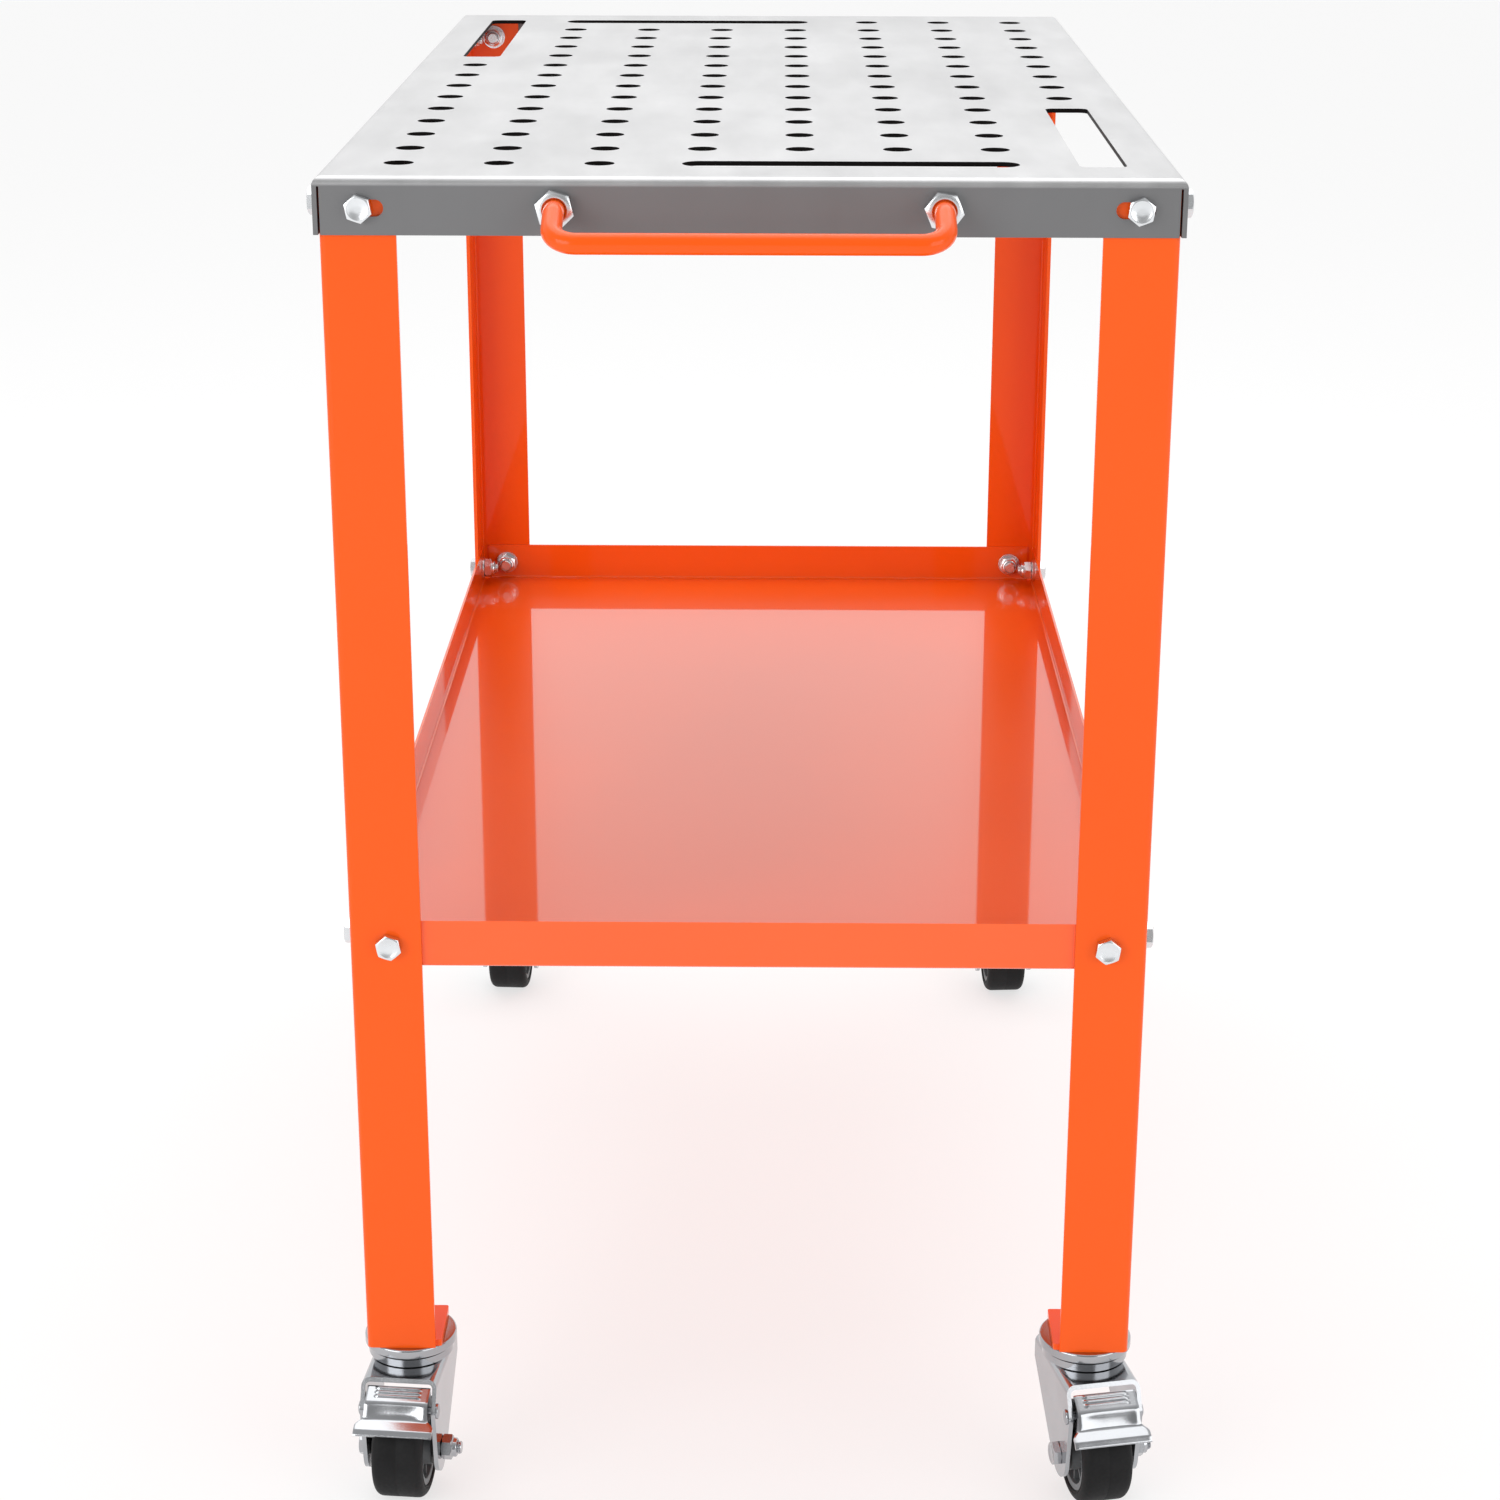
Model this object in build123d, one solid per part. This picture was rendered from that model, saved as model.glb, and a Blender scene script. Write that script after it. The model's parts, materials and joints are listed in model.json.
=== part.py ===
"""Welding table on four swivel casters, built as separate pieces.

The row frame: +Z up, floor at z = 0, the end with the pull handle faces -Y, and the
origin is at the middle of the footprint. Millimetres throughout.

Every piece is first built about the middle of the tabletop, and is moved along Y into the
row frame when it is written, because the handle reaches out at one end only.
"""
from build123d import *
import math
import os

os.makedirs("parts", exist_ok=True)

# Driving dimensions: tabletop
table_width = 450.0
table_length = 800.0
table_height = 775.0
top_thickness = 2.5
flange_height = 30.0
top_bend_radius = 5.0
corner_gap = 1.2

# Fixture holes and clamp slots in the tabletop
hole_columns = 8
hole_rows = 14
hole_margin_x = 39.5
hole_margin_y = 49.0
hole_diameter = 15.9
narrow_slot_width = 19.0
narrow_slot_pitches = 3
wide_slot_width = 25.0
wide_slot_pitches = 4
wide_slot_corner_radius = 5.0

# Legs and feet
leg_flange = 40.0
leg_thickness = 2.5
leg_outer_radius = 3.5
leg_inner_radius = 1.5
foot_plate_side = 41.0
foot_plate_thickness = 4.0

# Shelf tray
shelf_bottom = 333.5
shelf_wall_height = 28.0
shelf_thickness = 1.5
shelf_bend_radius = 3.0
shelf_corner_notch = 5.0

# M8 fasteners of the frame, and M12 nuts on the handle and the caster stems
bolt_diameter = 8.0
bolt_across_flats = 13.0
bolt_head_height = 5.3
bolt_tail = 2.5
lock_nut_height = 8.0
washer_diameter = 17.0
washer_thickness = 1.6
top_bolt_from_edge = 24.0
top_bolt_below_top = 16.0
shelf_bolt_from_corner = 22.0
flange_slot_length = 20.4
flange_slot_width = 8.8
flange_slot_from_edge = 26.5
large_nut_across_flats = 18.0
stem_nut_height = 10.0
handle_nut_height = 6.5

# Pull handle
handle_bar_diameter = 11.0
handle_half_span = 100.0
handle_reach = 40.0
handle_drop = 11.0
handle_straight_end = 14.0
handle_tail = 3.0
handle_corner_radius = 13.0
handle_knee_radius = 18.0

# Casters: the wheel trails behind the swivel axis
stem_diameter = 12.0
stem_tail = 3.0
wheel_radius = 30.0
wheel_width = 30.0
tyre_depth = 7.0
tyre_edge_radius = 5.0
hub_width = 34.0
hub_wall = 4.0
hub_web = 6.0
hub_rim_set_back = 1.0
bush_diameter = 13.0
caster_trail = 27.0
fork_gap = 39.5
fork_plate = 2.5
fork_bend_radius = 5.0
fork_rear_reach = 26.0
fork_front_reach = 36.5
fork_tip_radius = 14.0
crown_above_wheel = 20.0
race_stack = 12.5
axle_head_height = 4.5
axle_nut_height = 9.0
race_diameter = 54.0
race_plate = 2.0
race_depth = 6.0
race_gap = 1.4
lower_rim_height = 4.5
crown_edge_lean = 1.0
crown_edge_drop = 2.5
ball_diameter = 5.0
ball_count = 16
ball_ring_radius = 17.0
king_head_radius = 9.0
king_head_height = 3.0

# Brake pedal
pedal_plate = 2.0
pedal_lip_width = 46.0
pedal_pin_diameter = 5.0
pedal_pin_angle = 21.0
pedal_pin_above_tread = 3.3
fork_ear_radius = 6.0
pedal_ear_radius = 4.6
pedal_shoe_width = 24.0
pin_head_radius = 4.5
pin_head_height = 2.0
pedal_press_angle = 9.0
locked_casters = ("front_right",)
rib_height = 0.9
rib_shares = (0.36, 0.6, 0.84)
pedal_bend_radii = [5.0, 4.0, 2.0]

# The turn of each caster about its stem as the table stands, in degrees
caster_turns = {"front_left": -5.0, "front_right": 12.0, "rear_left": -3.0, "rear_right": 4.0}

# Clearances
thread_clearance = 0.05
running_clearance = 0.05
bolt_hole_clearance = 0.3
handle_hole_clearance = 0.4
moving_gap = 0.35
tyre_seat_gap = 0.05
pedal_side_gap = 1.25

# Worked out from the sizes above
half_width = table_width / 2
half_length = table_length / 2
stem_radius = stem_diameter / 2
crown_top = 2 * wheel_radius + crown_above_wheel
leg_bottom = crown_top + race_stack
pitch_x = (table_width - 2 * hole_margin_x) / (hole_columns - 1)
pitch_y = (table_length - 2 * hole_margin_y) / (hole_rows - 1)
leg_face = top_thickness
leg_inside = top_thickness + leg_thickness
stem_from_edge = leg_inside + foot_plate_side / 2
top_inner_radius = top_bend_radius - top_thickness
leg_top = table_height - top_thickness - top_inner_radius
shelf_half_width = half_width - leg_inside
shelf_half_length = half_length - leg_inside
shelf_bolt_height = shelf_bottom + shelf_wall_height / 2
top_bolt_height = table_height - top_bolt_below_top
bolt_hole_radius = bolt_diameter / 2 + bolt_hole_clearance
nut_bore_radius = bolt_diameter / 2 + thread_clearance
fork_outer = fork_gap / 2 + fork_plate
ball_top = leg_bottom - race_plate - moving_gap
track_top = ball_top - ball_diameter - running_clearance
pin_from_axle = wheel_radius + pedal_pin_above_tread
pin_y = -caster_trail - pin_from_axle * math.sin(math.radians(pedal_pin_angle))
pin_z = wheel_radius + pin_from_axle * math.cos(math.radians(pedal_pin_angle))
pedal_half_width = fork_gap / 2 - pedal_side_gap


row_shift = (handle_reach + handle_bar_diameter / 2 - bolt_head_height) / 2
corners = [
    ("front_left", -1, -1),
    ("front_right", 1, -1),
    ("rear_left", -1, 1),
    ("rear_right", 1, 1),
]


def write(node, shape):
    """Move a piece into the row frame and write its own file."""
    export_step(Pos(0, row_shift, 0) * shape, f"parts/{node}.step")


def group(shapes):
    """Identical loose pieces that share one node."""
    return Compound([solid for shape in shapes for solid in shape.solids()])


def facing(shape, place, outward):
    """Stand a piece built along +Z at a place, with its +Z turned to point outward."""
    return Plane(origin=place, z_dir=outward).location * shape


def hexagon(across_flats, height):
    """A hexagonal prism whose corners are turned down at both ends."""
    prism = extrude(RegularPolygon(across_flats / 2, 6, major_radius=False), height)
    corner = across_flats / math.sqrt(3)
    chamfer_height = (corner - across_flats / 2) * 0.6
    turned = Pos(0, 0, height / 2) * Cylinder(corner, height)
    turned = chamfer(turned.edges().filter_by(GeomType.CIRCLE), chamfer_height)
    return prism & turned


def nut(across_flats, height, bore_radius):
    """A hexagonal nut standing on z = 0."""
    return hexagon(across_flats, height) - Pos(0, 0, height / 2) * Cylinder(bore_radius, 2 * height)


def lock_nut(across_flats, height, bore_radius):
    """A nut with the round collar that holds its nylon ring."""
    collar_height = height * 0.28
    hexed = hexagon(across_flats, height - collar_height)
    collar = Pos(0, 0, height / 2) * Cylinder(across_flats * 0.44, height)
    collar = fillet(collar.edges().group_by(Axis.Z)[-1], collar_height * 0.5)
    return hexed + collar - Pos(0, 0, height / 2) * Cylinder(bore_radius, 2 * height)


def bolt(grip):
    """A hexagon bolt: head above z = 0, shank below it through the grip and the nut."""
    length = grip + lock_nut_height + bolt_tail
    shank = Pos(0, 0, -length / 2) * Cylinder(bolt_diameter / 2, length)
    shank = chamfer(shank.edges().group_by(Axis.Z)[0], 0.8)
    return hexagon(bolt_across_flats, bolt_head_height) + shank


def washer():
    """A plain washer standing on z = 0."""
    disc = Pos(0, 0, washer_thickness / 2) * Cylinder(washer_diameter / 2, washer_thickness)
    return disc - Cylinder(bolt_hole_radius, 4 * washer_thickness)


def corner_fasteners(from_edge_x, from_edge_y, face_x, face_y, height, grip):
    """Bolts, washers and lock nuts of the four corners, two at right angles in each."""
    bolts, washers, nuts = [], [], []
    for _, side_x, side_y in corners:
        spots = [
            ((side_x * from_edge_x, side_y * face_y, height), (0, side_y, 0)),
            ((side_x * face_x, side_y * from_edge_y, height), (side_x, 0, 0)),
        ]
        for place, outward in spots:
            inward = tuple(-value for value in outward)
            behind = tuple(at - grip * way for at, way in zip(place, outward))
            seat = tuple(at - washer_thickness * way for at, way in zip(behind, outward))
            bolts.append(facing(bolt(grip + washer_thickness), place, outward))
            washers.append(facing(washer(), behind, inward))
            nut_shape = lock_nut(bolt_across_flats, lock_nut_height, nut_bore_radius)
            nuts.append(facing(nut_shape, seat, inward))
    return group(bolts), group(washers), group(nuts)


def folded_tray(width, length, height, thickness, bend_radius):
    """A sheet folded up along its four sides: floor on z = 0, walls up, corners still closed."""
    outer = Pos(0, 0, height / 2) * Box(width, length, height)
    outer = fillet(outer.edges().group_by(Axis.Z)[0], bend_radius)
    inner = Pos(0, 0, height / 2 + thickness) * Box(
        width - 2 * thickness, length - 2 * thickness, height
    )
    inner = fillet(inner.edges().group_by(Axis.Z)[0], bend_radius - thickness)
    return outer - inner


def slot_blocks_hole(column, row):
    """Say whether a clamp slot takes the place of the fixture hole at this grid point."""
    last_column = hole_columns - 1
    last_row = hole_rows - 1
    narrow = range(last_column - 1 - narrow_slot_pitches, last_column)
    if row == 0 and column in narrow or row == last_row and last_column - column in narrow:
        return True
    if column == last_column and row <= wide_slot_pitches:
        return True
    return column == 0 and last_row - row <= wide_slot_pitches


def hole_place(column, row):
    """The centre of one grid point of the tabletop."""
    return (hole_margin_x - half_width + column * pitch_x, hole_margin_y - half_length + row * pitch_y)


def make_tabletop():
    """The folded top sheet with its fixture holes, clamp slots and bolt slots."""
    sheet = folded_tray(table_width, table_length, flange_height, top_thickness, top_bend_radius)
    sheet = Pos(0, 0, table_height) * Rot(180, 0, 0) * sheet
    tall = 4 * top_thickness
    tools = []
    for column in range(hole_columns):
        for row in range(hole_rows):
            if not slot_blocks_hole(column, row):
                x, y = hole_place(column, row)
                tools.append(Pos(x, y, table_height) * Cylinder(hole_diameter / 2, tall))
    narrow_length = narrow_slot_pitches * pitch_x + narrow_slot_width
    narrow = extrude(SlotOverall(narrow_length, narrow_slot_width), tall, both=True)
    wide_length = wide_slot_pitches * pitch_y + hole_diameter
    wide_face = RectangleRounded(wide_slot_width, wide_length, wide_slot_corner_radius)
    wide = extrude(wide_face, tall, both=True)
    narrow_x, narrow_y = hole_place(hole_columns - 2 - narrow_slot_pitches / 2, 0)
    wide_x, wide_y = hole_place(hole_columns - 1, wide_slot_pitches / 2)
    for turn in (1, -1):
        tools.append(Pos(turn * narrow_x, turn * narrow_y, table_height) * narrow)
        tools.append(Pos(turn * wide_x, turn * wide_y, table_height) * wide)
    flange_slot = extrude(SlotOverall(flange_slot_length, flange_slot_width), 2 * tall, both=True)
    for _, side_x, side_y in corners:
        x = side_x * (half_width - flange_slot_from_edge)
        y = side_y * (half_length - flange_slot_from_edge)
        tools.append(Pos(x, side_y * half_length, top_bolt_height) * Rot(90, 0, 0) * flange_slot)
        side_slot = Rot(0, 0, 90) * Rot(90, 0, 0) * flange_slot
        tools.append(Pos(side_x * half_width, y, top_bolt_height) * side_slot)
        gap_x = side_x * (half_width - top_thickness - corner_gap / 2)
        gap_height = flange_height - top_bend_radius
        gap_z = table_height - flange_height + gap_height / 2
        gap = Box(corner_gap, 4 * top_thickness, gap_height)
        tools.append(Pos(gap_x, side_y * half_length, gap_z) * gap)
    handle_hole = Cylinder(handle_bar_diameter / 2 + handle_hole_clearance, tall)
    for side_x in (-1, 1):
        place = Pos(side_x * handle_half_span, -half_length, top_bolt_height)
        tools.append(place * Rot(90, 0, 0) * handle_hole)
    return sheet - tools


def make_leg(side_x, side_y):
    """A leg folded to an angle, with the holes for its four bolts."""
    height = leg_top - leg_bottom
    mid = (leg_top + leg_bottom) / 2
    far = leg_flange / 2
    thin = leg_thickness / 2
    leg = Pos(-far, -thin, mid) * Box(leg_flange, leg_thickness, height)
    leg += Pos(-thin, -far, mid) * Box(leg_thickness, leg_flange, height)
    uprights = leg.edges().filter_by(Axis.Z)
    leg = fillet(uprights.sort_by_distance((0, 0, mid))[0], leg_outer_radius)
    inner = leg.edges().filter_by(Axis.Z).sort_by_distance((-leg_thickness, -leg_thickness, mid))[0]
    leg = fillet(inner, leg_inner_radius)
    hole = Cylinder(bolt_hole_radius, 8 * leg_thickness)
    top_at = top_bolt_from_edge - leg_face
    shelf_at = shelf_bolt_from_corner
    for from_corner, z in ((top_at, top_bolt_height), (shelf_at, shelf_bolt_height)):
        leg -= Pos(-from_corner, 0, z) * Rot(90, 0, 0) * hole
        leg -= Pos(0, -from_corner, z) * Rot(0, 90, 0) * hole
    if side_x < 0:
        leg = mirror(leg, Plane.YZ)
    if side_y < 0:
        leg = mirror(leg, Plane.XZ)
    return Pos(side_x * (half_width - leg_face), side_y * (half_length - leg_face), 0) * leg


def make_foot_plate(side_x, side_y):
    """The square plate inside the bottom of a leg that carries the caster stem."""
    z = leg_bottom + foot_plate_thickness / 2
    middle_x = side_x * (half_width - leg_inside - foot_plate_side / 2)
    middle_y = side_y * (half_length - leg_inside - foot_plate_side / 2)
    plate = Box(foot_plate_side, foot_plate_side, foot_plate_thickness)
    plate = fillet(plate.edges().filter_by(Axis.Z), leg_inner_radius)
    stem_x = side_x * (half_width - stem_from_edge)
    stem_y = side_y * (half_length - stem_from_edge)
    hole = Cylinder(stem_radius + bolt_hole_clearance, 4 * foot_plate_thickness)
    return Pos(middle_x, middle_y, z) * plate - Pos(stem_x, stem_y, z) * hole


def make_shelf_tray():
    """The shelf: a shallow tray with open corners, bolted inside the four legs."""
    width = 2 * shelf_half_width
    length = 2 * shelf_half_length
    tray = folded_tray(width, length, shelf_wall_height, shelf_thickness, shelf_bend_radius)
    tray = Pos(0, 0, shelf_bottom) * tray
    notch = Box(2 * shelf_corner_notch, 2 * shelf_corner_notch, 4 * shelf_wall_height)
    hole = Cylinder(bolt_hole_radius, 8 * shelf_thickness)
    for _, side_x, side_y in corners:
        tray -= Pos(side_x * shelf_half_width, side_y * shelf_half_length, shelf_bottom) * notch
        x = side_x * (half_width - leg_face - shelf_bolt_from_corner)
        y = side_y * (half_length - leg_face - shelf_bolt_from_corner)
        z = shelf_bolt_height
        tray -= Pos(x, side_y * shelf_half_length, z) * Rot(90, 0, 0) * hole
        tray -= Pos(side_x * shelf_half_width, y, z) * Rot(0, 90, 0) * hole
    return tray


def make_handle():
    """The round bar handle: straight threaded ends, a small drop, then the cross bar."""
    inside = -half_length + top_thickness + handle_nut_height + handle_tail
    knee = -half_length - handle_straight_end
    reach = -half_length - handle_reach
    low = top_bolt_height - handle_drop
    half = [
        (handle_half_span, inside, top_bolt_height),
        (handle_half_span, knee, top_bolt_height),
        (handle_half_span, reach, low),
    ]
    points = half + [(-x, y, z) for x, y, z in reversed(half)]
    radii = [handle_knee_radius, handle_corner_radius, handle_corner_radius, handle_knee_radius]
    path = FilletPolyline(*points, radius=radii)
    start = Plane(origin=points[0], z_dir=(0, -1, 0))
    return sweep(start * Circle(handle_bar_diameter / 2), path)


def make_handle_nuts(inside):
    """The two nuts on one side of the front flange."""
    bore = handle_bar_diameter / 2 + thread_clearance
    shape = nut(large_nut_across_flats, handle_nut_height, bore)
    y = -half_length + (top_thickness if inside else 0)
    outward = (0, 1, 0) if inside else (0, -1, 0)
    spots = [(side_x * handle_half_span, y, top_bolt_height) for side_x in (-1, 1)]
    return group(facing(shape, spot, outward) for spot in spots)


def at_stems(shape):
    """One copy of a piece on each caster stem's axis."""
    reach_x = half_width - stem_from_edge
    reach_y = half_length - stem_from_edge
    return group(Pos(side_x * reach_x, side_y * reach_y, 0) * shape for _, side_x, side_y in corners)


def make_stem():
    """The threaded stem, which goes down through the fork's crown to a riveted head."""
    top = leg_bottom + foot_plate_thickness + stem_nut_height + stem_tail
    head_top = crown_top - fork_plate - moving_gap
    length = top - head_top
    shank = Pos(0, 0, head_top + length / 2) * Cylinder(stem_radius, length)
    shank = chamfer(shank.edges().group_by(Axis.Z)[-1], 1.2)
    head = Pos(0, 0, head_top - king_head_height / 2) * Cylinder(king_head_radius, king_head_height)
    head = fillet(head.edges().group_by(Axis.Z)[0], king_head_height * 0.6)
    return shank + head


def make_stem_nut():
    """The nut above the foot plate."""
    shape = nut(large_nut_across_flats, stem_nut_height, stem_radius + thread_clearance)
    return Pos(0, 0, leg_bottom + foot_plate_thickness) * shape


def make_upper_race():
    """The pressed cap that sits still under the foot plate and covers the balls."""
    outer = race_diameter / 2
    cap = Pos(0, 0, leg_bottom - race_depth / 2) * Cylinder(outer, race_depth)
    cap = fillet(cap.edges().group_by(Axis.Z)[-1], race_plate)
    hollow_depth = race_depth - race_plate
    hollow = Cylinder(outer - race_plate, hollow_depth)
    cap -= Pos(0, 0, leg_bottom - race_depth + hollow_depth / 2) * hollow
    return cap - Pos(0, 0, leg_bottom) * Cylinder(stem_radius + thread_clearance, 4 * race_depth)


def make_balls():
    """The ring of loose balls that the caster swivels on."""
    z = track_top + running_clearance + ball_diameter / 2
    balls = []
    for number in range(ball_count):
        turn = math.radians(360 * number / ball_count)
        x = ball_ring_radius * math.cos(turn)
        y = ball_ring_radius * math.sin(turn)
        balls.append(Pos(x, y, z) * Sphere(ball_diameter / 2))
    return group(balls)


def side_view(face, half_width_x):
    """Extrude a face drawn in (y, z) across the caster, evenly to both sides."""
    return extrude(Plane.YZ * face, half_width_x, both=True)


def fork_outline():
    """The fork seen from the side: round about the axle and the pedal pin, square on top."""
    axle = Pos(-caster_trail, wheel_radius) * Circle(fork_tip_radius)
    ear = Pos(pin_y, pin_z) * Circle(fork_ear_radius)
    crown = Polyline(
        (fork_rear_reach, crown_top - wheel_radius / 2),
        (fork_rear_reach, crown_top),
        (-fork_front_reach, crown_top),
        (-fork_front_reach - crown_edge_lean, crown_top - crown_edge_drop),
    )
    return make_hull([*axle.edges(), *ear.edges(), *crown.edges()])


def make_lower_race():
    """The dished ring on the crown with the raised track that the balls run on."""
    rim = race_diameter / 2 - race_plate
    inner = stem_radius + running_clearance
    rim_top = leg_bottom - race_depth - race_gap
    track_inner = ball_ring_radius - ball_diameter / 2
    track_outer = ball_ring_radius + ball_diameter / 2
    points = [
        (inner, crown_top - fork_plate),
        (track_outer, crown_top - fork_plate / 2),
        (rim, rim_top - lower_rim_height),
        (rim, rim_top),
        (rim - race_plate, rim_top),
        (track_outer, track_top),
        (track_inner, track_top),
        (inner, crown_top),
    ]
    return revolve(Plane.XZ * make_face(Polyline(*points, close=True)), Axis.Z)


def make_fork():
    """The pressed fork: a channel over the wheel with a race ring and ears."""
    long = 8 * fork_front_reach
    outer = Pos(0, 0, crown_top / 2) * Box(2 * fork_outer, long, crown_top)
    inner = Pos(0, 0, crown_top / 2 - fork_plate) * Box(fork_gap, long, crown_top)
    outer = fillet(outer.edges().filter_by(Axis.Y).group_by(Axis.Z)[-1], fork_bend_radius)
    inner_radius = fork_bend_radius - fork_plate
    inner = fillet(inner.edges().filter_by(Axis.Y).group_by(Axis.Z)[-1], inner_radius)
    outline = fork_outline()
    fork = (outer - inner) & side_view(outline, 2 * fork_outer)
    fork += make_lower_race()
    fork -= Pos(0, 0, crown_top) * Cylinder(stem_radius + running_clearance, 8 * fork_plate)
    axle = Pos(0, -caster_trail, wheel_radius) * Rot(0, 90, 0)
    fork -= axle * Cylinder(bolt_hole_radius, 4 * fork_outer)
    pin = Pos(0, pin_y, pin_z) * Rot(0, 90, 0)
    return fork - pin * Cylinder(pedal_pin_diameter / 2 + running_clearance, 4 * fork_outer)


def make_axle_bolt():
    """The wheel bolt, head on the -X side of the fork."""
    length = 2 * fork_outer + axle_nut_height + bolt_tail
    shank = Pos(0, 0, -length / 2) * Cylinder(bolt_diameter / 2, length)
    shank = chamfer(shank.edges().group_by(Axis.Z)[0], 0.8)
    shape = hexagon(bolt_across_flats, axle_head_height) + shank
    return facing(shape, (-fork_outer, -caster_trail, wheel_radius), (-1, 0, 0))


def make_axle_nut():
    """The lock nut of the wheel bolt."""
    shape = lock_nut(bolt_across_flats, axle_nut_height, nut_bore_radius)
    return facing(shape, (fork_outer, -caster_trail, wheel_radius), (1, 0, 0))


def make_bush():
    """The tube clamped between the fork plates, which the wheel turns on."""
    tube = Cylinder(bush_diameter / 2, fork_gap) - Cylinder(nut_bore_radius, 2 * fork_gap)
    return Pos(0, -caster_trail, wheel_radius) * Rot(0, 90, 0) * tube


def make_hub():
    """The wheel centre: rim, thin web and boss."""
    bore = bush_diameter / 2 + running_clearance
    rim = wheel_radius - tyre_depth - tyre_seat_gap
    boss = bore + hub_wall
    rim_inside = rim - hub_wall
    half_boss = hub_width / 2
    half_rim = wheel_width / 2 - hub_rim_set_back
    half_web = hub_web / 2
    points = [
        (bore, half_boss),
        (boss, half_boss),
        (boss + hub_web / 2, half_web),
        (rim_inside - hub_web / 2, half_web),
        (rim_inside, half_rim),
        (rim, half_rim),
    ]
    points += [(r, -x) for r, x in reversed(points)]
    face = Plane.XZ * make_face(Polyline(*points, close=True))
    hub = revolve(face, Axis.Z)
    return Pos(0, -caster_trail, wheel_radius) * Rot(0, 90, 0) * hub


def make_tyre():
    """The solid tyre with rounded shoulders."""
    tyre = Cylinder(wheel_radius, wheel_width)
    tyre = fillet(tyre.edges().filter_by(GeomType.CIRCLE), tyre_edge_radius)
    tyre -= Cylinder(wheel_radius - tyre_depth, 2 * wheel_width)
    return Pos(0, -caster_trail, wheel_radius) * Rot(0, 90, 0) * tyre


def pedal_points():
    """The middle line of the pedal's plate in (y, z), from its back edge to its rolled lip."""
    offsets = [(1.8, 13.4), (-8.8, 8.6), (-14.0, 0.2), (-21.0, -2.4), (-23.6, -4.9)]
    return [(pin_y + forward, pin_z + up) for forward, up in offsets]


def make_pedal():
    """The brake pedal: a bent plate with ribs, two ears on the pin, and a shoe for the tyre."""
    points = pedal_points()
    line = FilletPolyline(*points, radius=pedal_bend_radii)
    plate = side_view(trace(line, line_width=pedal_plate), pedal_lip_width / 2)
    plate = fillet(plate.edges().filter_by(Axis.X).group_by(Axis.Y)[0], pedal_plate * 0.4)
    body = pedal_half_width
    lip = pedal_lip_width / 2
    back = points[0][0] + 2 * pedal_plate
    taper_start = points[2][0] + pedal_plate
    taper_end = points[2][0] - 2 * pedal_plate
    front = points[-1][0] - 2 * pedal_plate
    plan = make_face(
        Polyline(
            (-body, back),
            (body, back),
            (body, taper_start),
            (lip, taper_end),
            (lip, front),
            (-lip, front),
            (-lip, taper_end),
            (-body, taper_start),
            close=True,
        )
    )
    plan = fillet(plan.vertices().group_by(Axis.Y)[1], pedal_plate)
    pedal = plate & extrude(plan, crown_top)
    ear_points = [*points[:3], (points[2][0], points[2][1] - 2 * pedal_plate)]
    ear_points += [(pin_y - 3, pin_z - pedal_ear_radius), (pin_y + 4, pin_z)]
    ear = make_face(Polyline(*ear_points, close=True)) + Pos(pin_y, pin_z) * Circle(pedal_ear_radius)
    ears = side_view(ear, body) - side_view(ear, body - pedal_plate)
    shoe_back = pin_y - pedal_ear_radius
    shoe_front, shoe_top = points[1]
    shoe = make_face(
        Polyline(
            (shoe_back, shoe_top + pedal_plate / 2),
            (shoe_front, shoe_top),
            (shoe_front, wheel_radius),
            (shoe_back, wheel_radius),
            close=True,
        )
    )
    axle = Vector(-caster_trail - pin_y, wheel_radius - pin_z).rotate(Axis.Z, -pedal_press_angle)
    worn = Pos(pin_y + axle.X, pin_z + axle.Y) * Circle(wheel_radius + moving_gap)
    pedal += ears + side_view(shoe - worn, pedal_shoe_width / 2)
    rise = Vector(*points[0]) - Vector(*points[1])
    outward = Vector(-rise.Y, rise.X).normalized() * (pedal_plate / 2)
    for share in rib_shares:
        middle = Vector(*points[1]) + rise * share + outward
        rib = Rot(0, 90, 0) * Cylinder(rib_height, 2 * body * 0.7)
        rib = fillet(rib.edges().filter_by(GeomType.CIRCLE), rib_height * 0.9)
        pedal += Pos(0, middle.X, middle.Y) * rib
    pin = Pos(0, pin_y, pin_z) * Rot(0, 90, 0)
    return pedal - pin * Cylinder(pedal_pin_diameter / 2 + running_clearance, 4 * fork_outer)


def press_pedal(pedal):
    """The pedal turned down about its pin until its shoe holds the tyre."""
    pin = Pos(0, pin_y, pin_z)
    return pin * Rot(pedal_press_angle, 0, 0) * pin.inverse() * pedal


def make_pedal_pin():
    """The rivet that the pedal turns on, with a domed head outside each ear."""
    pin = Cylinder(pedal_pin_diameter / 2, 2 * fork_outer)
    for side in (-1, 1):
        middle = side * (fork_outer + pin_head_height / 2)
        head = Cylinder(pin_head_radius, pin_head_height)
        end = head.edges().group_by(Axis.Z)[-1 if side > 0 else 0]
        pin += Pos(0, 0, middle) * fillet(end, pin_head_height * 0.8)
    return Pos(0, pin_y, pin_z) * Rot(0, 90, 0) * pin


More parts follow.
